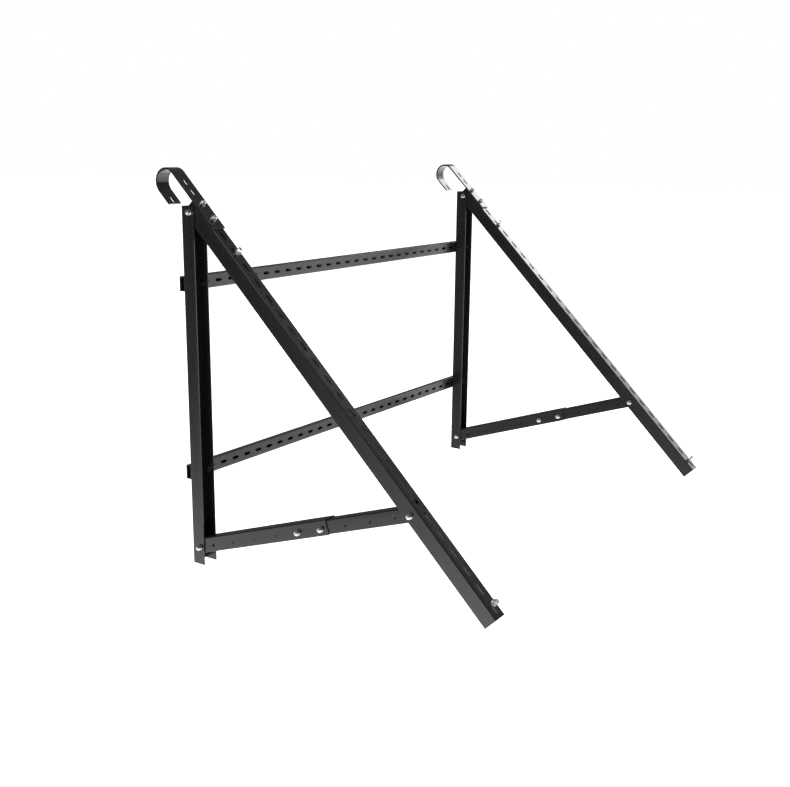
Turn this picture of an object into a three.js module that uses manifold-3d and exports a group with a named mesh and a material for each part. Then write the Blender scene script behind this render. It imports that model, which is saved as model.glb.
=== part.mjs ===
// Balcony bracket pair for one tilted panel: two hinged triangular supports that hook over a
// railing, joined by two slotted cross-beams. Millimetres, +Z up, -Y points away from the railing.
// The origin is midway between the two hook bends, on the centre line of the railing tube.
import * as THREE from 'three';
import { mergeVertices } from 'three/addons/utils/BufferGeometryUtils.js';
import Module from 'manifold-3d';

const wasm = await Module();
wasm.setup();

// ---- driving dimensions ----------------------------------------------------------------------
const SPACING = 1440;            // between the centre planes of the two supports
const GAP = 0.3;                 // between faces that touch
const SLIDE_GAP = 0.6;           // between nested channels, each side

const POST = { height: 1000, width: 50, depth: 42, wall: 2.5 };
const RAIL = { length: 1319, depth: 42, wall: 2 };
const OUTER = { depth: 42, wall: 2 };
const INNER = { wall: 2 };
const BEND = 3;                  // outer bend radius of every channel
const BEND_STEPS = 3;

const TILT = 45;                 // rail below the horizontal, degrees
const RAIL_PIVOT_IN = 15;        // top pivot from the rail's upper end
const RAIL_PIVOT_UP = 16;        // pivot line above the rail's lower edges
const TOP_PIVOT = { out: 28, down: 16 };     // from the post's rear top edge
const LOW_PIVOT = { out: 26.5, up: 50 };     // from the post's rear bottom edge
const STRUT_REACH = 985;         // from the top pivot to the strut's pivot, along the rail

const STRUT_PITCH = 80;          // between adjusting holes
const STRUT_FIRST = 51;          // first hole from the low pivot
const STRUT_AXIS_DOWN = 24;      // strut axis below the outer strut's top face
const STRUT_END = 22;            // material beyond the last hole
const OUTER_HOLES = 6;
const OUTER_TAIL = 12;           // outer strut behind the low pivot
const INNER_HOLES = 3;           // in view beyond the outer strut
const INNER_TAIL = 13;           // inner strut beyond the rail pivot
const EXTEND = 82;               // travel that the inner strut can lengthen by
const RETRACT = 14;              // and shorten by
const PIVOT_PLAY = 1.6;          // added to the radius of the inner strut's rail hole

const SLOT = { pitch: 53.1, count: 25, first: 17.6, length: 30, width: 9 };      // rail
const BEAM = { height: 40, depth: 18, wall: 2, overhang: 22 };
const BEAM_SLOT = { pitch: 50.75, length: 26, width: 9, endMargin: 72 };
const BEAM_DROPS = { upper: 207.5, lower: 735 };    // beam centres below the post's top

const HOOK = { thickness: 5, width: 44, bore: 64, longLeg: 200, shortLeg: 48 };
const HOOK_END = 86;             // lower end of the hook past the top pivot, along the rail
const HOOK_SLOTS = [-77, -41];
const HOOK_SLOT = { length: 24, width: 8 };
const SHORT_SLOT = 34;           // from the end of the bend

const M8 = { radius: 4, hole: 4.6, head: 6.5, headHeight: 5.3, nut: 6.5, nutHeight: 6.8 };
const WASHER = { radius: 8, thickness: 1.6 };
const TIP = 4;                   // thread past the nut
const STUD_TIP = 12;             // panel studs stand further out of their nuts
const ROUND = 10;                // sides of a shank or a round hole
const ACCESS_HOLE = 5;           // radius of the hole in the post's +X flange at each beam

// ---- derived places --------------------------------------------------------------------------
const deg = THREE.MathUtils.degToRad;
const slotCentre = (i) => SLOT.first - RAIL_PIVOT_IN + SLOT.pitch * i;    // past the top pivot
const HOOK_BOLTS = [slotCentre(0), slotCentre(1)];
const PANEL_BOLTS = [slotCentre(3) + 9.6, slotCentre(SLOT.count - 1) - 9];
const RAIL_WIDTH = POST.width - 2 * (POST.wall + SLIDE_GAP);
const OUTER_WIDTH = RAIL_WIDTH - 0.6;
const INNER_WIDTH = OUTER_WIDTH - 2 * (OUTER.wall + SLIDE_GAP);
const INNER_DEPTH = OUTER.depth - OUTER.wall - SLIDE_GAP - 1.4;
const top = new THREE.Vector2(TOP_PIVOT.out, -TOP_PIVOT.down);
const low = new THREE.Vector2(LOW_PIVOT.out, LOW_PIVOT.up - POST.height);
const far = new THREE.Vector2(
  top.x + STRUT_REACH * Math.cos(deg(TILT)),
  top.y - STRUT_REACH * Math.sin(deg(TILT)),
);
const STRUT_LENGTH = low.distanceTo(far);
const STRUT_RISE = Math.atan2(far.y - low.y, far.x - low.x);
const OUTER_LAST = STRUT_FIRST + STRUT_PITCH * (OUTER_HOLES - 1);
const LOCKS = [OUTER_LAST - STRUT_PITCH, OUTER_LAST];
const WEB_TOP = RAIL.depth - RAIL_PIVOT_UP;       // rail's top face above its pivot line
const HOOK_FACE = WEB_TOP + GAP;                  // hook's inner face above the pivot line
const HOOK_CENTRE = {
  along: HOOK_END - HOOK.longLeg,
  up: HOOK_FACE - HOOK.bore / 2,
};
const hookOut = top.x + HOOK_CENTRE.along * Math.cos(deg(TILT)) + HOOK_CENTRE.up * Math.sin(deg(TILT));
const hookUp = top.y - HOOK_CENTRE.along * Math.sin(deg(TILT)) + HOOK_CENTRE.up * Math.cos(deg(TILT));

// ---- finishes --------------------------------------------------------------------------------
const blackPaint = { color: 0x17181a, roughness: 0.35, metalness: 0.2 };
const beamPaint = { color: 0x1c1d1f, roughness: 0.4, metalness: 0.2 };
const zinc = { color: 0xb9bcc0, roughness: 0.35, metalness: 0.9 };

// ---- solids ----------------------------------------------------------------------------------
function solid(geometry) {
  geometry.deleteAttribute('normal');
  geometry.deleteAttribute('uv');
  const merged = mergeVertices(geometry, 1e-4);
  return new wasm.Manifold(new wasm.Mesh({
    numProp: 3,
    vertProperties: new Float32Array(merged.attributes.position.array),
    triVerts: new Uint32Array(merged.index.array),
  }));
}

function meshOf(name, body, look) {
  const { vertProperties, triVerts } = body.getMesh();
  const geometry = new THREE.BufferGeometry();
  geometry.setAttribute('position', new THREE.BufferAttribute(vertProperties, 3));
  geometry.setIndex(new THREE.BufferAttribute(triVerts, 1));
  geometry.computeVertexNormals();
  const mesh = new THREE.Mesh(geometry, new THREE.MeshStandardMaterial(look));
  mesh.name = name;
  return mesh;
}

// A prism that runs along -Y from y = -start, with the shape's second axis up.
function prism(shape, start, length) {
  const geometry = new THREE.ExtrudeGeometry(shape, { depth: length, bevelEnabled: false });
  geometry.rotateX(Math.PI / 2);
  geometry.translate(0, -start, 0);
  return solid(geometry);
}

// U-channel along -Y. Its web's outer face is at z = webTop, and its legs point down.
function channel({ width, depth, wall, webTop, start, length }) {
  const half = width / 2;
  const shape = new THREE.Shape();
  shape.moveTo(half, webTop - depth);
  const arc = (x, from) => {
    for (let i = 0; i <= BEND_STEPS; i += 1) {
      const a = from + (Math.PI / 2) * (i / BEND_STEPS);
      shape.lineTo(x + BEND * Math.cos(a), webTop - BEND + BEND * Math.sin(a));
    }
  };
  arc(half - BEND, 0);
  arc(BEND - half, Math.PI / 2);
  shape.lineTo(-half, webTop - depth);
  shape.lineTo(wall - half, webTop - depth);
  shape.lineTo(wall - half, webTop - wall);
  shape.lineTo(half - wall, webTop - wall);
  shape.lineTo(half - wall, webTop - depth);
  shape.closePath();
  return prism(shape, start, length);
}

// Upright round-ended cutter, long along Y, through z = from to z = to.
function slotCutter(along, length, width, from, to) {
  const r = width / 2;
  const run = length / 2 - r;
  const points = [];
  [[run, 0], [-run, Math.PI]].forEach(([y, turn]) => {
    for (let i = 0; i <= 3; i += 1) {
      const a = turn + (Math.PI * i) / 3;
      points.push(new THREE.Vector2(r * Math.cos(a), y + r * Math.sin(a)));
    }
  });
  const shape = new THREE.Shape(points);
  const geometry = new THREE.ExtrudeGeometry(shape, { depth: to - from, bevelEnabled: false });
  geometry.translate(0, -along, from);
  return solid(geometry);
}

// Cylinder along X between two planes, at (y = -out, z = up).
function crossPin(radius, fromX, toX, out, up, sides = ROUND) {
  const geometry = new THREE.CylinderGeometry(radius, radius, toX - fromX, sides);
  geometry.rotateZ(-Math.PI / 2);
  geometry.translate((fromX + toX) / 2, -out, up);
  return solid(geometry);
}

// Round cylinder along Z between two heights, at y = -out.
function uprightPin(radius, fromZ, toZ, out, sides = ROUND) {
  const geometry = new THREE.CylinderGeometry(radius, radius, toZ - fromZ, sides);
  geometry.rotateX(Math.PI / 2);
  geometry.translate(0, -out, (fromZ + toZ) / 2);
  return solid(geometry);
}

const cutAll = (body, cutters) => cutters.reduce((left, cutter) => left.subtract(cutter), body);
const acrossHoles = (outs, width, radius = M8.hole) =>
  outs.map((out) => crossPin(radius, -width, width, out, 0));

// ---- the channels, each in its own frame with its pivot at the origin --------------------------
function postSolid() {
  // Lies along -Y from its top end here, with the web up; the web becomes the rear face.
  const body = channel({ ...POST, webTop: 0, start: 0, length: POST.height });
  const half = POST.width;
  const cutters = [
    crossPin(M8.hole, -half, half, TOP_PIVOT.down, -TOP_PIVOT.out),
    crossPin(M8.hole, -half, half, POST.height - LOW_PIVOT.up, -LOW_PIVOT.out),
  ];
  Object.values(BEAM_DROPS).forEach((drop) => {
    cutters.push(uprightPin(M8.hole, -2 * POST.wall, POST.wall, drop));
    cutters.push(crossPin(ACCESS_HOLE, -half, 0, drop, -POST.depth / 2));
  });
  return cutAll(body, cutters);
}

function railSolid() {
  const body = channel({
    ...RAIL, width: RAIL_WIDTH, webTop: WEB_TOP, start: -RAIL_PIVOT_IN,
  });
  const cutters = acrossHoles([0, STRUT_REACH], RAIL_WIDTH);
  for (let i = 0; i < SLOT.count; i += 1) {
    const along = slotCentre(i);
    cutters.push(slotCutter(along, SLOT.length, SLOT.width, WEB_TOP - 2 * RAIL.wall, WEB_TOP + 1));
  }
  return cutAll(body, cutters);
}

function outerStrutSolid() {
  const body = channel({
    ...OUTER, width: OUTER_WIDTH, webTop: STRUT_AXIS_DOWN, start: -OUTER_TAIL,
    length: OUTER_TAIL + OUTER_LAST + STRUT_END,
  });
  const holes = [0];
  for (let i = 0; i < OUTER_HOLES; i += 1) holes.push(STRUT_FIRST + STRUT_PITCH * i);
  return cutAll(body, acrossHoles(holes, OUTER_WIDTH));
}

function innerStrutSolid() {
  const slotFrom = LOCKS[0] - M8.hole - EXTEND;
  const slotTo = LOCKS[1] + M8.hole + RETRACT;
  const start = slotFrom - STRUT_END;
  const body = channel({
    wall: INNER.wall, width: INNER_WIDTH, depth: INNER_DEPTH,
    webTop: STRUT_AXIS_DOWN - OUTER.wall - SLIDE_GAP, start,
    length: STRUT_LENGTH + INNER_TAIL - start,
  });
  const holes = [];
  for (let i = 1; i <= INNER_HOLES; i += 1) holes.push(OUTER_LAST + STRUT_PITCH * i);
  const cutters = acrossHoles(holes, INNER_WIDTH);
  cutters.push(...acrossHoles([STRUT_LENGTH], INNER_WIDTH, M8.hole + PIVOT_PLAY));
  const slot = new THREE.BoxGeometry(2 * INNER_WIDTH, slotTo - slotFrom, 2 * M8.hole);
  slot.translate(0, -(slotFrom + slotTo) / 2, 0);
  cutters.push(solid(slot));
  return cutAll(body, cutters);
}

// Strap bent into a J. It lies on the rail's top face; the short leg hangs behind the railing.
function hookSolid() {
  const shape = new THREE.Shape();
  const { along, up } = HOOK_CENTRE;
  const inner = HOOK.bore / 2;
  const outer = inner + HOOK.thickness;
  shape.moveTo(-HOOK_END, HOOK_FACE);
  shape.lineTo(-HOOK_END, HOOK_FACE + HOOK.thickness);
  shape.absarc(-along, up, outer, Math.PI / 2, -Math.PI / 2, true);
  shape.lineTo(-along - HOOK.shortLeg, up - outer);
  shape.lineTo(-along - HOOK.shortLeg, up - inner);
  shape.absarc(-along, up, inner, -Math.PI / 2, Math.PI / 2, false);
  shape.closePath();
  const geometry = new THREE.ExtrudeGeometry(shape, {
    depth: HOOK.width, bevelEnabled: false, curveSegments: 18,
  });
  geometry.rotateZ(Math.PI / 2);
  geometry.rotateY(Math.PI / 2);
  geometry.translate(-HOOK.width / 2, 0, 0);
  const strap = solid(geometry);
  const face = HOOK_FACE - 1;
  const crown = HOOK_FACE + HOOK.thickness + 1;
  const cutters = HOOK_BOLTS.map((out) => uprightPin(M8.hole, face, crown, out));
  HOOK_SLOTS.forEach((out) => {
    cutters.push(slotCutter(out, HOOK_SLOT.length, HOOK_SLOT.width, face, crown));
  });
  cutters.push(slotCutter(along + SHORT_SLOT, HOOK_SLOT.length, HOOK_SLOT.width,
    up - outer - 1, up - inner + 1));
  return cutAll(strap, cutters);
}

function beamSolid() {
  const length = SPACING + 2 * BEAM.overhang;
  const body = channel({
    width: BEAM.height, depth: BEAM.depth, wall: BEAM.wall, webTop: 0, start: -length / 2, length,
  });
  const half = BEAM.height / 2 - BEAM.wall / 2;
  const back = solid(new THREE.BoxGeometry(2 * half, length, BEAM.wall)
    .translate(0, 0, BEAM.wall / 2 - BEAM.depth));
  const cutters = [-SPACING / 2, SPACING / 2].map((out) =>
    uprightPin(M8.hole, -BEAM.depth - 1, BEAM.wall, out));
  const run = length - 2 * BEAM_SLOT.endMargin;
  const count = Math.floor(run / BEAM_SLOT.pitch) + 1;
  for (let i = 0; i < count; i += 1) {
    const along = (i - (count - 1) / 2) * BEAM_SLOT.pitch;
    cutters.push(slotCutter(along, BEAM_SLOT.length, BEAM_SLOT.width, -2 * BEAM.wall, 1));
  }
  return cutAll(body.add(back), cutters);
}

// ---- fasteners: local +Z runs from the head to the nut, and z = 0 is the face under the head ---
function boltSolid(grip, tip = TIP) {
  const seat = -GAP;
  const end = grip + 2 * GAP + WASHER.thickness + M8.nutHeight + tip;
  const head = uprightPin(M8.head, seat - WASHER.thickness - M8.headHeight, seat - 0.8, 0, 6);
  const washer = uprightPin(WASHER.radius, seat - WASHER.thickness, seat, 0, 12);
  return head.add(washer).add(uprightPin(M8.radius, seat - 1, end, 0));
}

function nutSolid() {
  const washer = uprightPin(WASHER.radius, 0, WASHER.thickness, 0, 12);
  const hex = uprightPin(M8.nut, WASHER.thickness / 2, WASHER.thickness + M8.nutHeight, 0, 6);
  return washer.add(hex).subtract(uprightPin(M8.radius + GAP, -1, 12, 0));
}

// Adds a bolt and its nut to a parent, clamping a stack of thickness `grip` from `seat` along `dir`.
function fasten(parent, name, seat, dir, grip, tip = TIP) {
  const turn = new THREE.Quaternion().setFromUnitVectors(new THREE.Vector3(0, 0, 1), dir);
  const bolt = meshOf(`${name}_bolt`, boltSolid(grip, tip), zinc);
  bolt.position.copy(seat);
  bolt.quaternion.copy(turn);
  const nut = meshOf(`${name}_nut`, nutSolid(), zinc);
  nut.position.copy(seat).addScaledVector(dir, grip + GAP);
  nut.quaternion.copy(turn);
  parent.add(bolt, nut);
}

// ---- one support ----------------------------------------------------------------------------
// side is -1 for the left support and 1 for the right one; bolt heads face the middle.
function support(name, side) {
  const group = new THREE.Group();
  group.position.x = (side * SPACING) / 2;
  const across = new THREE.Vector3(side, 0, 0);
  const crossBolt = (parent, label, out, up, width) => fasten(parent, `${name}_${label}`,
    new THREE.Vector3((-side * width) / 2, -out, up), across, width);

  const post = meshOf(`${name}_post`, postSolid(), blackPaint);
  post.rotation.set(-Math.PI / 2, 0, Math.PI);
  group.add(post);
  crossBolt(group, 'top_pivot', top.x, top.y, POST.width);
  crossBolt(group, 'low_pivot', low.x, low.y, POST.width);
  Object.entries(BEAM_DROPS).forEach(([level, drop]) => {
    fasten(group, `${name}_${level}_beam`, new THREE.Vector3(0, -POST.wall, -drop),
      new THREE.Vector3(0, 1, 0), POST.wall + GAP + BEAM.depth);
  });

  const rail = new THREE.Group();
  rail.position.set(0, -top.x, top.y);
  rail.rotation.x = deg(TILT);
  rail.add(meshOf(`${name}_rail`, railSolid(), blackPaint));
  rail.add(meshOf(`${name}_hook`, hookSolid(), blackPaint));
  crossBolt(rail, 'strut_end', STRUT_REACH, 0, RAIL_WIDTH);
  const up = new THREE.Vector3(0, 0, 1);
  const webUnder = WEB_TOP - RAIL.wall;
  HOOK_BOLTS.forEach((out, i) => fasten(rail, `${name}_hook_${i + 1}`,
    new THREE.Vector3(0, -out, webUnder), up, RAIL.wall + GAP + HOOK.thickness));
  PANEL_BOLTS.forEach((out, i) => fasten(rail, `${name}_panel_${i + 1}`,
    new THREE.Vector3(0, -out, webUnder), up, RAIL.wall, STUD_TIP));
  group.add(rail);

  const strut = new THREE.Group();
  strut.position.set(0, -low.x, low.y);
  strut.rotation.x = -STRUT_RISE;
  strut.add(meshOf(`${name}_strut_outer`, outerStrutSolid(), blackPaint));
  strut.add(meshOf(`${name}_strut_inner`, innerStrutSolid(), blackPaint));
  LOCKS.forEach((out, i) => crossBolt(strut, `strut_lock_${i + 1}`, out, 0, OUTER_WIDTH));
  group.add(strut);
  return group;
}

function beam(level) {
  const mesh = meshOf(`${level}_beam`, beamSolid(), beamPaint);
  // Its web faces -Y, against the posts' rear faces, and its legs point to +Y.
  mesh.rotation.set(Math.PI / 2, 0, -Math.PI / 2);
  const holder = new THREE.Group();
  holder.add(mesh);
  holder.position.set(0, GAP, -BEAM_DROPS[level]);
  return holder;
}

const model = new THREE.Group();
model.add(support('left', -1), support('right', 1), beam('upper'), beam('lower'));
model.position.set(0, hookOut, -hookUp);

export default model;
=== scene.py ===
"""Looks for a pair of black steel balcony brackets that hook over a railing.

The CAD frame gives every place and size. This script turns its channels into clean bent sheet with
softened edges, builds the zinc-plated fasteners in detail, and sets the finishes, light and camera.
"""

import logging
import math
from dataclasses import dataclass, field
from enum import Enum

import bmesh
import bpy
from mathutils import Matrix, Vector


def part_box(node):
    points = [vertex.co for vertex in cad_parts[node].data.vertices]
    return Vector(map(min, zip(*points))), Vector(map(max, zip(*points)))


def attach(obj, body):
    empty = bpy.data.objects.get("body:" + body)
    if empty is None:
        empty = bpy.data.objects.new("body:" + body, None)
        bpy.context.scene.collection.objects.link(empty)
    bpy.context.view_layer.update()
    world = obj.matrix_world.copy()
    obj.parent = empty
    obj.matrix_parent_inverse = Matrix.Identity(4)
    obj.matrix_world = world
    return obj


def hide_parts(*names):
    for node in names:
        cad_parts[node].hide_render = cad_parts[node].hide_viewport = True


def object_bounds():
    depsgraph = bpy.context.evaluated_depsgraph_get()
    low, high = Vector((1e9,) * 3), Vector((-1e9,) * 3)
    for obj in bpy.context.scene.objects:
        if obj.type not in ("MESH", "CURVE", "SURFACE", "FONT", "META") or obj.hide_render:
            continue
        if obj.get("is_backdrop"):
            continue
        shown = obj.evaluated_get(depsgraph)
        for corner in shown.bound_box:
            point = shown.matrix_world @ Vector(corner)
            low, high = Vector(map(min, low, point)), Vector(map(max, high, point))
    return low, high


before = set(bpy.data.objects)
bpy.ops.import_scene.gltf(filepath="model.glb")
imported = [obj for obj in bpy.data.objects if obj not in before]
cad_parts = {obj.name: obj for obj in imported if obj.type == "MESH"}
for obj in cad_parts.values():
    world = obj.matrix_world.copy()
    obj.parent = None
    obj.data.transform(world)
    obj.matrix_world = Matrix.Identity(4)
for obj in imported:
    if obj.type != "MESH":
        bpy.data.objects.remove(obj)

LOG = logging.getLogger("brackets")
MM = 0.001
SIDES = ("left", "right")
TILT = math.radians(45)
ACROSS = Vector((1, 0, 0))
REARWARD = Vector((0, 1, 0))
RAIL_NORMAL = Vector((0, -math.sin(TILT), math.cos(TILT)))

Piece = bpy.types.Object
Mesh = bpy.types.Mesh
Material = bpy.types.Material


class Axis(Enum):
    """The direction that a fastener points along, from its head to its nut."""

    ACROSS = "across"
    REARWARD = "rearward"
    RAIL_NORMAL = "rail_normal"


AXES = {Axis.ACROSS: ACROSS, Axis.REARWARD: REARWARD, Axis.RAIL_NORMAL: RAIL_NORMAL}


# Where the dust specks and the rubbed edges with their painted highlight start and end, in their
# noise and pointiness.
DUST_SPAN = (0.62, 0.78)
RUBBED_AND_HIGHLIT_EDGE = 0.62
BUMP_DEPTH = 0.0002
DUST_ROUGHNESS = 0.08


# ---- shader helpers ---------------------------------------------------------------------------


def add_socket(
    tree: bpy.types.NodeTree, name: str, kind: str, into: bool, value: float | None = None
) -> None:
    """Adds one socket to a node group's interface.

    Args:
        tree: The group.
        name: The socket's name.
        kind: The socket's Blender type name.
        into: True for an input, False for an output.
        value: The default of an input.
    """
    socket = tree.interface.new_socket(name, in_out="INPUT" if into else "OUTPUT", socket_type=kind)
    if value is not None:
        socket.default_value = value


def coat_surface_group() -> bpy.types.NodeTree:
    """Builds the shader group for a sprayed or plated skin: ripple, mottling and dusty patches.

    Returns:
        A group with a mottling mask, a dust mask and a height, all from object coordinates.
    """
    tree = bpy.data.node_groups.new("skin_detail", "ShaderNodeTree")
    add_socket(tree, "Ripple Scale", "NodeSocketFloat", True, 900.0)
    add_socket(tree, "Mottle Scale", "NodeSocketFloat", True, 14.0)
    add_socket(tree, "Mottle", "NodeSocketFloat", False)
    add_socket(tree, "Dust", "NodeSocketFloat", False)
    add_socket(tree, "Height", "NodeSocketFloat", False)
    nodes, links = tree.nodes, tree.links
    enter, leave = nodes.new("NodeGroupInput"), nodes.new("NodeGroupOutput")
    where = nodes.new("ShaderNodeTexCoord")
    ripple, mottle, dust = (nodes.new("ShaderNodeTexNoise") for _ in range(3))
    ripple.inputs["Detail"].default_value = 3.0
    mottle.inputs["Detail"].default_value = 5.0
    dust.inputs["Scale"].default_value = 60.0
    dust.inputs["Detail"].default_value = 8.0
    for noise in (ripple, mottle, dust):
        links.new(where.outputs["Object"], noise.inputs["Vector"])
    links.new(enter.outputs["Ripple Scale"], ripple.inputs["Scale"])
    links.new(enter.outputs["Mottle Scale"], mottle.inputs["Scale"])
    specks = nodes.new("ShaderNodeMapRange")
    specks.inputs["From Min"].default_value = DUST_SPAN[0]
    specks.inputs["From Max"].default_value = DUST_SPAN[1]
    links.new(dust.outputs["Fac"], specks.inputs["Value"])
    links.new(mottle.outputs["Fac"], leave.inputs["Mottle"])
    links.new(specks.outputs["Result"], leave.inputs["Dust"])
    links.new(ripple.outputs["Fac"], leave.inputs["Height"])
    return tree


def edge_wear_and_highlight_group() -> bpy.types.NodeTree:
    """Builds the shader group that finds the exposed edges of a piece from its pointiness, for
    rubbed edges and a painted edge highlight.

    Returns:
        A group whose output is a broken-up mask of the sharp outer edges.
    """
    tree = bpy.data.node_groups.new("edge_wear_and_highlight", "ShaderNodeTree")
    add_socket(tree, "Start", "NodeSocketFloat", True, 0.52)
    add_socket(tree, "Edge", "NodeSocketFloat", False)
    nodes, links = tree.nodes, tree.links
    enter, leave = nodes.new("NodeGroupInput"), nodes.new("NodeGroupOutput")
    shape = nodes.new("ShaderNodeNewGeometry")
    where = nodes.new("ShaderNodeTexCoord")
    noise = nodes.new("ShaderNodeTexNoise")
    noise.inputs["Scale"].default_value = 120.0
    span = nodes.new("ShaderNodeMapRange")
    span.inputs["From Max"].default_value = RUBBED_AND_HIGHLIT_EDGE
    broken = nodes.new("ShaderNodeMath")
    broken.operation = "MULTIPLY"
    links.new(where.outputs["Object"], noise.inputs["Vector"])
    links.new(enter.outputs["Start"], span.inputs["From Min"])
    links.new(shape.outputs["Pointiness"], span.inputs["Value"])
    links.new(span.outputs["Result"], broken.inputs[0])
    links.new(noise.outputs["Fac"], broken.inputs[1])
    links.new(broken.outputs["Value"], leave.inputs["Edge"])
    return tree


@dataclass(frozen=True)
class Finish:
    """A sprayed or plated skin over steel."""

    name: str
    dark: tuple[float, float, float]
    light: tuple[float, float, float]
    rough_low: float
    rough_high: float
    metallic: float
    bump: float
    ripple_scale: float = 900.0
    mottle_scale: float = 14.0
    # How much lighter the edges are: partly rubbed-through coat, partly a painted highlight along
    # them.
    edge_shine: float = 0.12
    specular: float = 0.5

    def build(self, skin: bpy.types.NodeTree, wear_and_highlight: bpy.types.NodeTree) -> Material:
        """Makes the material.

        Args:
            skin: The skin detail group.
            wear_and_highlight: The edge group, for rubbed-through coat and a painted highlight
                along the edges.

        Returns:
            The finished material.
        """
        material = bpy.data.materials.new(self.name)
        material.use_nodes = True
        nodes, links = material.node_tree.nodes, material.node_tree.links
        shader = nodes["Principled BSDF"]
        detail, edges = nodes.new("ShaderNodeGroup"), nodes.new("ShaderNodeGroup")
        detail.node_tree, edges.node_tree = skin, wear_and_highlight
        detail.inputs["Ripple Scale"].default_value = self.ripple_scale
        detail.inputs["Mottle Scale"].default_value = self.mottle_scale
        tone = nodes.new("ShaderNodeMix")
        tone.data_type = "RGBA"
        tone.inputs["A"].default_value = (*self.dark, 1)
        tone.inputs["B"].default_value = (*self.light, 1)
        links.new(detail.outputs["Mottle"], tone.inputs["Factor"])
        # The sharp edges are mixed lighter: partly rubbed-through coat, partly a painted highlight.
        rubbed_and_highlit = nodes.new("ShaderNodeMix")
        rubbed_and_highlit.data_type = "RGBA"
        shine = tuple(min(1.0, c + self.edge_shine) for c in self.light)
        rubbed_and_highlit.inputs["B"].default_value = (*shine, 1)
        links.new(edges.outputs["Edge"], rubbed_and_highlit.inputs["Factor"])
        links.new(tone.outputs["Result"], rubbed_and_highlit.inputs["A"])
        links.new(rubbed_and_highlit.outputs["Result"], shader.inputs["Base Color"])
        rough = nodes.new("ShaderNodeMapRange")
        rough.inputs["To Min"].default_value = self.rough_low
        rough.inputs["To Max"].default_value = self.rough_high
        links.new(detail.outputs["Mottle"], rough.inputs["Value"])
        dusty = nodes.new("ShaderNodeMath")
        dusty.operation = "MULTIPLY_ADD"
        dusty.inputs[1].default_value = DUST_ROUGHNESS
        links.new(detail.outputs["Dust"], dusty.inputs[0])
        links.new(rough.outputs["Result"], dusty.inputs[2])
        links.new(dusty.outputs["Value"], shader.inputs["Roughness"])
        bump = nodes.new("ShaderNodeBump")
        bump.inputs["Strength"].default_value = self.bump
        bump.inputs["Distance"].default_value = BUMP_DEPTH
        links.new(detail.outputs["Height"], bump.inputs["Height"])
        links.new(bump.outputs["Normal"], shader.inputs["Normal"])
        shader.inputs["Metallic"].default_value = self.metallic
        shader.inputs["Specular IOR Level"].default_value = self.specular
        return material


BLACK = Finish(
    "black_powder_coat", (0.0035, 0.0035, 0.0038), (0.006, 0.006, 0.0063), 0.17, 0.24, 0.0, 0.03,
    edge_shine=0.05,
)
# The beams' coat is the posts' black mixed lighter, as painted light that stands in for the
# brighter light falling on the beams.
BEAM_BLACK_PAINTED_LIGHTER = Finish(
    "painted_lighter_black_beam_coat", (0.006, 0.006, 0.0059), (0.010, 0.010, 0.0098), 0.26, 0.33, 0.0, 0.04,
    edge_shine=0.05,
)
ZINC = Finish(
    "bright_zinc_plate", (0.42, 0.44, 0.46), (0.66, 0.68, 0.70), 0.22, 0.38, 1.0, 0.08,
    ripple_scale=1500.0, mottle_scale=90.0, edge_shine=0.2,
)


@dataclass(frozen=True)
class FloorFinish:
    """The plain pale floor."""

    name: str = "pale_floor"
    tone: tuple[float, float, float] = (0.96, 0.96, 0.96)
    glow: float = 1.05

    def build(self) -> Material:
        """Makes the floor's material, matt and very slightly uneven in tone."""
        material = bpy.data.materials.new(self.name)
        material.use_nodes = True
        nodes, links = material.node_tree.nodes, material.node_tree.links
        shader = nodes["Principled BSDF"]
        shader.inputs["Roughness"].default_value = 0.9
        shader.inputs["Specular IOR Level"].default_value = 0.0
        shader.inputs["Emission Strength"].default_value = self.glow
        where, noise = nodes.new("ShaderNodeTexCoord"), nodes.new("ShaderNodeTexNoise")
        noise.inputs["Scale"].default_value = 0.4
        tone = nodes.new("ShaderNodeMix")
        tone.data_type = "RGBA"
        tone.inputs["A"].default_value = (*self.tone, 1)
        tone.inputs["B"].default_value = (*(c * 1.04 for c in self.tone), 1)
        links.new(where.outputs["Object"], noise.inputs["Vector"])
        links.new(noise.outputs["Fac"], tone.inputs["Factor"])
        links.new(tone.outputs["Result"], shader.inputs["Base Color"])
        links.new(tone.outputs["Result"], shader.inputs["Emission Color"])
        return material


# ---- mesh helpers -----------------------------------------------------------------------------


def new_object(name: str, mesh: Mesh) -> Piece:
    """Puts a mesh into the scene.

    Args:
        name: The object's name.
        mesh: Its mesh.

    Returns:
        The new object, at the origin.
    """
    piece = bpy.data.objects.new(name, mesh)
    bpy.context.scene.collection.objects.link(piece)
    return piece


def evaluated_mesh(piece: Piece) -> Mesh:
    """Gives a plain mesh of a piece with its modifiers applied."""
    bpy.context.view_layer.update()
    graph = bpy.context.evaluated_depsgraph_get()
    return bpy.data.meshes.new_from_object(piece.evaluated_get(graph), depsgraph=graph)


def dress(piece: Piece, node: str, body: str, material: Material) -> None:
    """Gives a piece its material, hangs it on its CAD body and hides the CAD node that it stands
    for.

    Args:
        piece: The piece.
        node: The CAD node that it replaces.
        body: The CAD body that it rides on.
        material: Its material.
    """
    piece.data.materials.clear()
    piece.data.materials.append(material)
    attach(piece, body)
    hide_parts(node)


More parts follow.
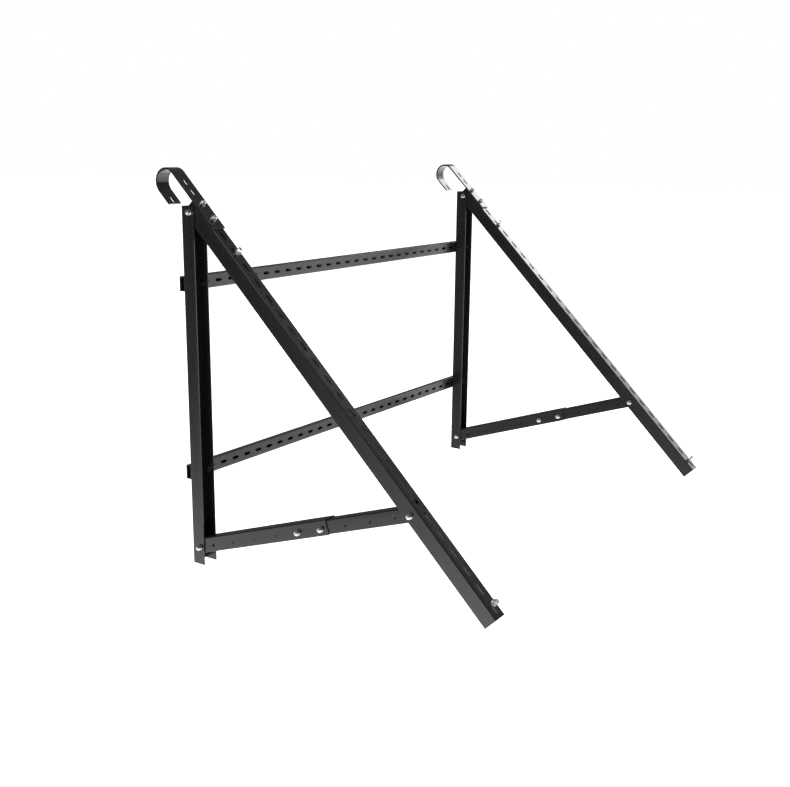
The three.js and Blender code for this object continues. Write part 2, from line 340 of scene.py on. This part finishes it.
@dataclass
class BentSheet:
    """A channel, box or strap of steel, from its CAD node, with its cut edges softened."""

    node: str
    body: str
    slot: str
    edge_radius: float = 0.45 * MM
    edge_steps: int = 2
    crease: float = math.radians(32)
    smooth: float = math.radians(38)
    weld: float = 1e-6
    flatness: float = math.radians(0.6)

    def build(self, material: Material) -> Piece:
        """Copies the node, merges its flat faces and rounds its sharp edges.

        Args:
            material: The sheet's finish.

        Returns:
            The finished sheet.
        """
        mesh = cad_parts[self.node].data.copy()
        work = bmesh.new()
        work.from_mesh(mesh)
        bmesh.ops.remove_doubles(work, verts=work.verts, dist=self.weld)
        bmesh.ops.dissolve_limit(
            work, angle_limit=self.flatness, verts=work.verts, edges=work.edges
        )
        closed = [edge for edge in work.edges if len(edge.link_faces) == 2]
        sharp = [edge for edge in closed if edge.calc_face_angle(0.0) > self.crease]
        bmesh.ops.bevel(
            work,
            geom=sharp,
            offset=self.edge_radius,
            offset_type="OFFSET",
            segments=self.edge_steps,
            profile=0.5,
            affect="EDGES",
            clamp_overlap=True,
        )
        work.to_mesh(mesh)
        work.free()
        mesh.shade_smooth()
        mesh.set_sharp_from_angle(angle=self.smooth)
        draft = new_object(f"{self.node}_draft", mesh)
        even = draft.modifiers.new("even", "WEIGHTED_NORMAL")
        even.weight = 100
        even.keep_sharp = True
        piece = new_object(f"{self.node}_sheet", evaluated_mesh(draft))
        bpy.data.objects.remove(draft)
        dress(piece, self.node, self.body, material)
        return piece


# ---- fasteners --------------------------------------------------------------------------------


@dataclass
class Threaded:
    """Sizes of the M8 fasteners, in metres."""

    shank: float = 4 * MM
    across_corners: float = 7.4 * MM
    head_height: float = 5.3 * MM
    nut_height: float = 6.6 * MM
    washer: float = 8 * MM
    washer_height: float = 1.6 * MM
    pitch: float = 1.25 * MM
    thread_depth: float = 0.5 * MM
    facets: int = 28

    def turned(self, name: str, outline: list[tuple[float, float]], steps: int) -> Mesh:
        """Turns an outline about the Z axis into a closed mesh.

        Args:
            name: The mesh's name.
            outline: Points of (radius, height), starting and ending on the axis.
            steps: How many sides the turned piece has.

        Returns:
            The mesh.
        """
        work = bmesh.new()
        rings = []
        for radius, height in outline:
            if radius == 0.0:
                rings.append([work.verts.new((0, 0, height))])
                continue
            ring = []
            for i in range(steps):
                a = 2 * math.pi * i / steps
                ring.append(work.verts.new((radius * math.cos(a), radius * math.sin(a), height)))
            rings.append(ring)
        for low, high in zip(rings, rings[1:]):
            for i in range(steps):
                j = (i + 1) % steps
                corners = [low[i % len(low)], low[j % len(low)]]
                corners += [high[j % len(high)], high[i % len(high)]]
                unique = list(dict.fromkeys(corners))
                work.faces.new(unique)
        bmesh.ops.recalc_face_normals(work, faces=work.faces)
        mesh = bpy.data.meshes.new(name)
        work.to_mesh(mesh)
        work.free()
        return mesh

    def hexagon(self, work: bmesh.types.BMesh, low: float, high: float, hole: float) -> None:
        """Adds a hexagon with corners cut to a cone at its upper face.

        Args:
            work: The mesh being built.
            low: Height of its lower face.
            high: Height of its upper face.
            hole: Radius of the round recess in its upper face.
        """
        steps = self.facets - self.facets % 6
        flat = self.across_corners * math.cos(math.pi / 6)
        rings: list[list[bmesh.types.BMVert]] = []
        drop = 0.5 * MM
        corner_reach = 1 / math.cos(math.pi / 6) - 1

        def ring(size: float | None, height: float) -> None:
            """Adds one ring of points, round if it has a size and six-sided if it has none."""
            verts = []
            for i in range(steps):
                a = 2 * math.pi * i / steps
                to_flat = (a + math.pi / 6) % (math.pi / 3) - math.pi / 6
                radius = flat / math.cos(to_flat) if size is None else size
                past_flat = max(0.0, radius / flat - 1) if size is None else 0.0
                dip = drop * past_flat / corner_reach
                cut = height - dip if height > low else height
                verts.append(work.verts.new((radius * math.cos(a), radius * math.sin(a), cut)))
            rings.append(verts)

        ring(hole * 0.5, low)
        ring(None, low)
        ring(None, high - 0.15 * MM)
        ring(flat * 0.95, high)
        ring(hole, high)
        ring(hole * 0.9, high - 0.7 * MM)
        for below, above in zip(rings, rings[1:]):
            for i in range(steps):
                j = (i + 1) % steps
                work.faces.new((below[i], below[j], above[j], above[i]))
        work.faces.new(list(reversed(rings[0])))
        work.faces.new(rings[-1])

    def capped(self, name: str, hole: float, height: float, flip: bool) -> Mesh:
        """Makes a hexagon standing on its washer, with the washer's outer face at z = 0.

        Args:
            name: The mesh's name.
            hole: Radius of the recess in the hexagon's face.
            height: Height of the hexagon.
            flip: True to point the hexagon down.

        Returns:
            The mesh.
        """
        r, t, chamfer = self.washer, self.washer_height, 0.25 * MM
        outline = [(0, 0), (r - chamfer, 0), (r, chamfer)]
        outline += [(r, t - chamfer), (r - chamfer, t), (0, t)]
        mesh = self.turned(name, outline, self.facets)
        work = bmesh.new()
        work.from_mesh(mesh)
        self.hexagon(work, t - 0.05 * MM, t + height, hole)
        if flip:
            bmesh.ops.scale(work, vec=(1, 1, -1), verts=work.verts)
        bmesh.ops.recalc_face_normals(work, faces=work.faces)
        work.to_mesh(mesh)
        work.free()
        return mesh

    def shank_mesh(self, name: str) -> Mesh:
        """Makes a plain shank of unit length from z = 0 up, for stretching along Z."""
        r = self.shank - self.thread_depth
        return self.turned(name, [(0, 0), (r, 0), (r, 1), (0, 1)], self.facets)

    def thread_mesh(self, name: str, length: float) -> Mesh:
        """Makes a ringed thread with a chamfered top at z = 0, reaching down by its length.

        Args:
            name: The mesh's name.
            length: Length of thread.

        Returns:
            The mesh.
        """
        crest, root = self.shank, self.shank - self.thread_depth
        outline = [(0.0, -length), (root, -length)]
        for i in range(int((length - 1.2 * MM) / self.pitch)):
            foot = -length + i * self.pitch
            outline.append((crest, foot + 0.45 * self.pitch))
            outline.append((crest, foot + 0.6 * self.pitch))
            outline.append((root, foot + self.pitch))
        outline.append((root, -0.5 * MM))
        outline.append((root - 0.5 * MM, 0.0))
        outline.append((0.0, 0.0))
        return self.turned(name, outline, self.facets)


@dataclass
class FastenerPlace:
    """Where one bolt or nut of the CAD frame lies."""

    node: str
    axis: Vector
    low: Vector
    high: Vector

    @classmethod
    def of(cls, node: str, axis: Vector) -> "FastenerPlace":
        """Measures a CAD fastener along its axis.

        Args:
            node: The CAD node.
            axis: The axis that the fastener lies along.

        Returns:
            Its place, with its two ends on the axis.
        """
        points = [v.co.copy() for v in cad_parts[node].data.vertices]
        heights = [p.dot(axis) for p in points]
        flat = [p - axis * h for p, h in zip(points, heights)]
        middle = Vector([(min(p[i] for p in flat) + max(p[i] for p in flat)) / 2 for i in range(3)])
        middle -= axis * middle.dot(axis)
        return cls(node, axis, middle + axis * min(heights), middle + axis * max(heights))


class FastenerTree:
    """The Geometry Nodes tree that sets copies of one template on a cloud of turned points."""

    def __init__(self) -> None:
        """Builds the tree."""
        tree = bpy.data.node_groups.new("set_fasteners", "GeometryNodeTree")
        add_socket(tree, "Geometry", "NodeSocketGeometry", True)
        add_socket(tree, "Template", "NodeSocketObject", True)
        add_socket(tree, "Size", "NodeSocketFloat", True, 1.0)
        add_socket(tree, "Finish", "NodeSocketMaterial", True)
        add_socket(tree, "Geometry", "NodeSocketGeometry", False)
        nodes, links = tree.nodes, tree.links
        enter, leave = nodes.new("NodeGroupInput"), nodes.new("NodeGroupOutput")
        template = nodes.new("GeometryNodeObjectInfo")
        turn, stretch = (nodes.new("GeometryNodeInputNamedAttribute") for _ in range(2))
        for reader, name in ((turn, "turn"), (stretch, "stretch")):
            reader.data_type = "FLOAT_VECTOR"
            reader.inputs["Name"].default_value = name
        euler = nodes.new("FunctionNodeEulerToRotation")
        sized = nodes.new("ShaderNodeVectorMath")
        sized.operation = "SCALE"
        copies = nodes.new("GeometryNodeInstanceOnPoints")
        solid = nodes.new("GeometryNodeRealizeInstances")
        painted = nodes.new("GeometryNodeSetMaterial")
        links.new(enter.outputs["Geometry"], copies.inputs["Points"])
        links.new(enter.outputs["Template"], template.inputs["Object"])
        links.new(template.outputs["Geometry"], copies.inputs["Instance"])
        links.new(turn.outputs["Attribute"], euler.inputs["Euler"])
        links.new(euler.outputs["Rotation"], copies.inputs["Rotation"])
        links.new(stretch.outputs["Attribute"], sized.inputs["Vector"])
        links.new(enter.outputs["Size"], sized.inputs["Scale"])
        links.new(sized.outputs["Vector"], copies.inputs["Scale"])
        links.new(copies.outputs["Instances"], solid.inputs["Geometry"])
        links.new(solid.outputs["Geometry"], painted.inputs["Geometry"])
        links.new(enter.outputs["Finish"], painted.inputs["Material"])
        links.new(painted.outputs["Geometry"], leave.inputs["Geometry"])
        self.tree = tree
        self.keys = {
            item.name: item.identifier
            for item in tree.interface.items_tree
            if item.item_type == "SOCKET" and item.in_out == "INPUT"
        }

    def scatter(
        self,
        name: str,
        seats: list[tuple[Vector, Vector, float]],
        template: Mesh,
        material: Material,
    ) -> Mesh:
        """Sets the template on every seat.

        Args:
            name: Name of the result.
            seats: For each copy its place, its direction and its stretch along that direction.
            template: The mesh to copy.
            material: The finish of the copies.

        Returns:
            One plain mesh of all the copies.
        """
        cloud = bpy.data.meshes.new(f"{name}_seats")
        cloud.from_pydata([tuple(place) for place, _, _ in seats], [], [])
        turns = cloud.attributes.new("turn", "FLOAT_VECTOR", "POINT")
        stretches = cloud.attributes.new("stretch", "FLOAT_VECTOR", "POINT")
        for i, (_, direction, stretch) in enumerate(seats):
            turns.data[i].vector = direction.to_track_quat("Z", "X").to_euler()
            stretches.data[i].vector = (1, 1, stretch)
        holder = new_object(name, cloud)
        source = new_object(f"{name}_template", template)
        maker = holder.modifiers.new("fasteners", "NODES")
        maker.node_group = self.tree
        maker[self.keys["Template"]] = source
        maker[self.keys["Size"]] = 1.0
        maker[self.keys["Finish"]] = material
        result = evaluated_mesh(holder)
        for spent in (holder, source):
            bpy.data.objects.remove(spent)
        return result


@dataclass
class FastenerSet:
    """All the bolts and nuts that ride on one CAD body."""

    body: str
    joints: list[tuple[str, Axis]]
    sizes: Threaded = field(default_factory=Threaded)
    tip: float = 4 * MM
    stud_tip: float = 12 * MM

    def build(self, tree: FastenerTree, material: Material) -> Piece:
        """Makes the whole set as one piece.

        Args:
            tree: The tree that sets the copies.
            material: The zinc finish.

        Returns:
            The finished piece, which stands for every bolt and nut of the set.
        """
        sizes = self.sizes
        heads, nuts, shanks, tips, studs, nodes = [], [], [], [], [], []
        for name, kind in self.joints:
            axis = AXES[kind].copy()
            bolt_node, nut_node = f"{name}_bolt", f"{name}_nut"
            bolt, nut = FastenerPlace.of(bolt_node, axis), FastenerPlace.of(nut_node, axis)
            if (nut.low + nut.high).dot(axis) < (bolt.low + bolt.high).dot(axis):
                axis = -axis
                bolt, nut = FastenerPlace.of(bolt_node, axis), FastenerPlace.of(nut_node, axis)
            heads.append((bolt.low + axis * (sizes.head_height + sizes.washer_height), axis, 1.0))
            nuts.append((nut.low, axis, 1.0))
            start = bolt.low + axis * sizes.head_height
            shanks.append((start, axis, (bolt.high - start).length - 1 * MM))
            (studs if "panel" in name else tips).append((bolt.high, axis, 1.0))
            nodes += [bolt_node, nut_node]
        recess, bore = 0.9 * sizes.shank, sizes.shank + 0.15 * MM
        reach = sizes.nut_height * 0.6
        parts = [
            ("heads", heads, sizes.capped("head", recess, sizes.head_height, True)),
            ("nuts", nuts, sizes.capped("nut", bore, sizes.nut_height, False)),
            ("shanks", shanks, sizes.shank_mesh("shank")),
            ("tips", tips, sizes.thread_mesh("tip", self.tip + reach)),
            ("studs", studs, sizes.thread_mesh("stud", self.stud_tip + reach)),
        ]
        work = bmesh.new()
        for label, seats, template in parts:
            if seats:
                work.from_mesh(tree.scatter(f"{self.body}_{label}", seats, template, material))
        mesh = bpy.data.meshes.new(f"{self.body}_fasteners")
        work.to_mesh(mesh)
        work.free()
        mesh.shade_smooth()
        mesh.set_sharp_from_angle(angle=math.radians(28))
        piece = new_object(f"{self.body}_fasteners", mesh)
        dress(piece, nodes[0], self.body, material)
        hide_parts(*nodes)
        return piece


# ---- sub-assemblies ---------------------------------------------------------------------------


@dataclass
class Support:
    """One hinged triangle: post, rail, hook and telescopic strut with their fasteners."""

    side: str

    def build(self, tree: FastenerTree, black: Material, zinc: Material) -> list[Piece]:
        """Builds the support's pieces.

        Args:
            tree: The tree that sets the fasteners.
            black: The powder coat.
            zinc: The plating.

        Returns:
            The finished pieces.
        """
        s = self.side
        sheets = [
            BentSheet(f"{s}_post", "frame", "black_paint"),
            BentSheet(f"{s}_rail", f"{s}_rail_body", "black_paint"),
            BentSheet(f"{s}_hook", f"{s}_rail_body", "black_paint", smooth=math.radians(40)),
            BentSheet(f"{s}_strut_outer", f"{s}_outer_body", "black_paint"),
            BentSheet(f"{s}_strut_inner", f"{s}_inner_body", "black_paint"),
        ]
        pieces = [sheet.build(black) for sheet in sheets]
        rail_joints = [(f"{s}_strut_end", Axis.ACROSS)]
        for label in ("hook_1", "hook_2", "panel_1", "panel_2"):
            rail_joints.append((f"{s}_{label}", Axis.RAIL_NORMAL))
        locks = [(f"{s}_strut_lock_{i}", Axis.ACROSS) for i in (1, 2)]
        pieces.append(FastenerSet(f"{s}_rail_body", rail_joints).build(tree, zinc))
        pieces.append(FastenerSet(f"{s}_outer_body", locks).build(tree, zinc))
        return pieces


@dataclass
class HolePlugs:
    """Black snap-in plugs in the posts' access holes, one beside each beam bolt."""

    radius: float = 6.6 * MM
    stem: float = 4.7 * MM
    dome: float = 1.7 * MM
    wall: float = 2.5 * MM
    barb: float = 1.2 * MM
    steps: int = 28

    def build(self, tree: FastenerTree, places: list[Vector], material: Material) -> Piece:
        """Makes all the plugs as one piece.

        Args:
            tree: The tree that sets the copies.
            places: The middle of each hole on the flange's inner face.
            material: The plugs' finish.

        Returns:
            The finished piece.
        """
        r, s, b = self.radius, self.stem, self.barb
        outline = [(0.0, self.dome), (0.45 * r, 0.93 * self.dome)]
        outline += [(0.8 * r, 0.62 * self.dome), (r, 0.2 * MM)]
        outline += [(r, 0.0), (s, 0.0), (s, -self.wall), (s + 0.2 * MM, -self.wall - 0.4 * b)]
        outline += [(s - 0.8 * MM, -self.wall - b), (0.0, -self.wall - b)]
        template = Threaded().turned("plug", list(reversed(outline)), self.steps)
        seats = [(place, -ACROSS, 1.0) for place in places]
        mesh = tree.scatter("plug_copies", seats, template, material)
        mesh.shade_smooth()
        mesh.set_sharp_from_angle(angle=math.radians(35))
        piece = new_object("post_plugs", mesh)
        mesh.materials.clear()
        mesh.materials.append(material)
        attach(piece, "frame")
        return piece


@dataclass
class FixedFrame:
    """The cross-beams, and the fasteners that ride on the posts."""

    levels: tuple[str, ...] = ("upper", "lower")
    post_wall: float = 2.5 * MM
    hole_out: float = 21 * MM

    def build(self, tree: FastenerTree, black: Material, zinc: Material) -> list[Piece]:
        """Builds the beams and the fixed fasteners.

        Args:
            tree: The tree that sets the fasteners.
            black: The beams' coat, the posts' black mixed lighter as painted light.
            zinc: The plating.

        Returns:
            The finished pieces.
        """
        beams = [BentSheet(f"{level}_beam", "frame", "black_beam") for level in self.levels]
        pieces = [beam.build(black) for beam in beams]
        joints = []
        for s in SIDES:
            joints += [(f"{s}_top_pivot", Axis.ACROSS), (f"{s}_low_pivot", Axis.ACROSS)]
            joints += [(f"{s}_{level}_beam", Axis.REARWARD) for level in self.levels]
        pieces.append(FastenerSet("frame", joints).build(tree, zinc))
        pieces.append(HolePlugs(wall=self.post_wall).build(tree, self.hole_places(), black))
        return pieces

    def hole_places(self) -> list[Vector]:
        """Finds the middle of each access hole on the inner face of its post's flange."""
        places = []
        for s in SIDES:
            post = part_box(f"{s}_post")
            for level in self.levels:
                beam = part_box(f"{level}_beam")
                middle = (beam[0].z + beam[1].z) / 2
                inner = post[1].x - self.post_wall
                places.append(Vector((inner, post[1].y - self.hole_out, middle)))
        return places


# ---- stage ------------------------------------------------------------------------------------


@dataclass(frozen=True)
class Card:
    """One soft rectangular light, which the steel reflects as a bright card."""

    name: str
    place: tuple[float, float, float]
    width: float
    height: float
    glow: float

    def hang(self, aim: Vector) -> Piece:
        """Hangs the card.

        Args:
            aim: The point that it faces.

        Returns:
            The lamp.
        """
        light = bpy.data.lights.new(self.name, "AREA")
        light.shape = "RECTANGLE"
        light.size, light.size_y = self.width, self.height
        light.energy = math.pi * self.width * self.height * self.glow
        lamp = bpy.data.objects.new(self.name, light)
        lamp.location = self.place
        lamp.rotation_euler = (aim - Vector(self.place)).to_track_quat("-Z", "Y").to_euler()
        lamp.visible_camera = False
        bpy.context.scene.collection.objects.link(lamp)
        return lamp


@dataclass
class Studio:
    """The pale floor, the world and the soft lights."""

    floor_drop: float = 0.22
    floor_half: float = 40.0
    backdrop: tuple[float, float, float] = (1.0, 1.0, 1.0)
    sky_glow: float = 4.0
    sky: tuple[tuple[float, tuple[float, float, float]], ...] = (
        (-1.00, (0.70, 0.68, 0.65)),
        (-0.44, (0.70, 0.68, 0.65)),
        (-0.36, (0.42, 0.41, 0.39)),
        (-0.27, (0.085, 0.083, 0.08)),
        (-0.14, (0.022, 0.022, 0.022)),
        (0.08, (0.012, 0.012, 0.012)),
        (0.30, (0.045, 0.046, 0.047)),
        (0.72, (0.045, 0.046, 0.047)),
        (1.00, (0.20, 0.20, 0.205)),
    )
    cards: tuple[Card, ...] = (
        Card("overhead", (0.0, -1.0, 6.0), 5.0, 5.0, 2.0),
        Card("right_upper", (6.5, -0.3, 3.1), 3.0, 1.6, 6.0),
        Card("right_lower", (6.5, -1.8, 1.6), 3.4, 1.9, 2.4),
        Card("front_low", (4.4, -3.4, -0.9), 4.2, 2.6, 1.9),
    )

    def lay_floor(self, low: float) -> Piece:
        """Lays the plain white floor, which the steel neither reflects nor is lit by.

        Args:
            low: Height of that point.

        Returns:
            The floor.
        """
        h, z = self.floor_half, low - self.floor_drop
        mesh = bpy.data.meshes.new("floor")
        mesh.from_pydata([(-h, -h, z), (h, -h, z), (h, h, z), (-h, h, z)], [], [(0, 1, 2, 3)])
        floor = new_object("floor", mesh)
        mesh.materials.append(FloorFinish().build())
        floor.visible_glossy = floor.visible_diffuse = floor.visible_shadow = False
        floor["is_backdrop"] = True
        return floor

    def fill_world(self) -> None:
        """Sets a plain white backdrop, and the soft glow by height that the steel reflects."""
        world = bpy.data.worlds.new("studio")
        bpy.context.scene.world = world
        world.use_nodes = True
        nodes, links = world.node_tree.nodes, world.node_tree.links
        ground = nodes["Background"]
        where, parts = nodes.new("ShaderNodeTexCoord"), nodes.new("ShaderNodeSeparateXYZ")
        height, ramp = nodes.new("ShaderNodeMapRange"), nodes.new("ShaderNodeValToRGB")
        height.inputs["From Min"].default_value = -1.0
        stops = ramp.color_ramp.elements
        while len(stops) < len(self.sky):
            stops.new(0.5)
        for stop, (level, tone) in zip(stops, self.sky):
            stop.position = (level + 1) / 2
            stop.color = (*tone, 1)
        links.new(where.outputs["Generated"], parts.inputs["Vector"])
        links.new(parts.outputs["Z"], height.inputs["Value"])
        links.new(height.outputs["Result"], ramp.inputs["Fac"])
        links.new(ramp.outputs["Color"], ground.inputs["Color"])
        ground.inputs["Strength"].default_value = self.sky_glow
        seen = nodes.new("ShaderNodeBackground")
        seen.inputs["Color"].default_value = (*self.backdrop, 1)
        choose, path = nodes.new("ShaderNodeMixShader"), nodes.new("ShaderNodeLightPath")
        links.new(path.outputs["Is Camera Ray"], choose.inputs["Fac"])
        links.new(ground.outputs["Background"], choose.inputs[1])
        links.new(seen.outputs["Background"], choose.inputs[2])
        links.new(choose.outputs["Shader"], nodes["World Output"].inputs["Surface"])

    def build(self, low: float) -> None:
        """Sets the floor, the world and the lights.

        Args:
            low: Height of the brackets' lowest point.
        """
        self.lay_floor(low)
        self.fill_world()
        middle = Vector((0, -0.4, -0.5))
        for card in self.cards:
            card.hang(middle)


@dataclass
class Viewpoint:
    """The camera, set by its place, its heading and its lens."""

    place: tuple[float, float, float] = (-2.7542, -2.0581, 0.0884)
    heading: float = math.radians(33.335)
    dip: float = math.radians(13.165)
    roll: float = math.radians(-0.635)
    lens: float = 47.47

    def build(self) -> Piece:
        """Makes the camera and sets it as the scene's own."""
        ahead = Vector((
            math.cos(self.heading) * math.cos(self.dip),
            math.sin(self.heading) * math.cos(self.dip),
            -math.sin(self.dip),
        ))
        right = ahead.cross(Vector((0, 0, 1))).normalized()
        down = ahead.cross(right)
        side = right * math.cos(self.roll) + down * math.sin(self.roll)
        up = right * math.sin(self.roll) - down * math.cos(self.roll)
        data = bpy.data.cameras.new("viewpoint")
        data.lens = self.lens
        data.clip_end = 200.0
        camera = bpy.data.objects.new("viewpoint", data)
        turn = Matrix((side, up, -ahead)).transposed().to_4x4()
        camera.matrix_world = Matrix.Translation(self.place) @ turn
        bpy.context.scene.collection.objects.link(camera)
        bpy.context.scene.camera = camera
        return camera


def main() -> None:
    """Builds every piece in order."""
    logging.basicConfig(level=logging.INFO)
    cad_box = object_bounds()
    skin, wear_and_highlight = coat_surface_group(), edge_wear_and_highlight_group()
    black, beam_black_painted_lighter, zinc = (finish.build(skin, wear_and_highlight) for finish in (BLACK, BEAM_BLACK_PAINTED_LIGHTER, ZINC))
    tree = FastenerTree()
    pieces = FixedFrame().build(tree, beam_black_painted_lighter, zinc)
    for side in SIDES:
        pieces += Support(side).build(tree, black, zinc)
    for piece in pieces:
        LOG.info("%s: %d faces", piece.name, len(piece.data.polygons))
    Studio().build(cad_box[0].z)
    Viewpoint().build()
    bpy.context.scene.view_settings.view_transform = "Standard"


if __name__ == "__main__":
    main()
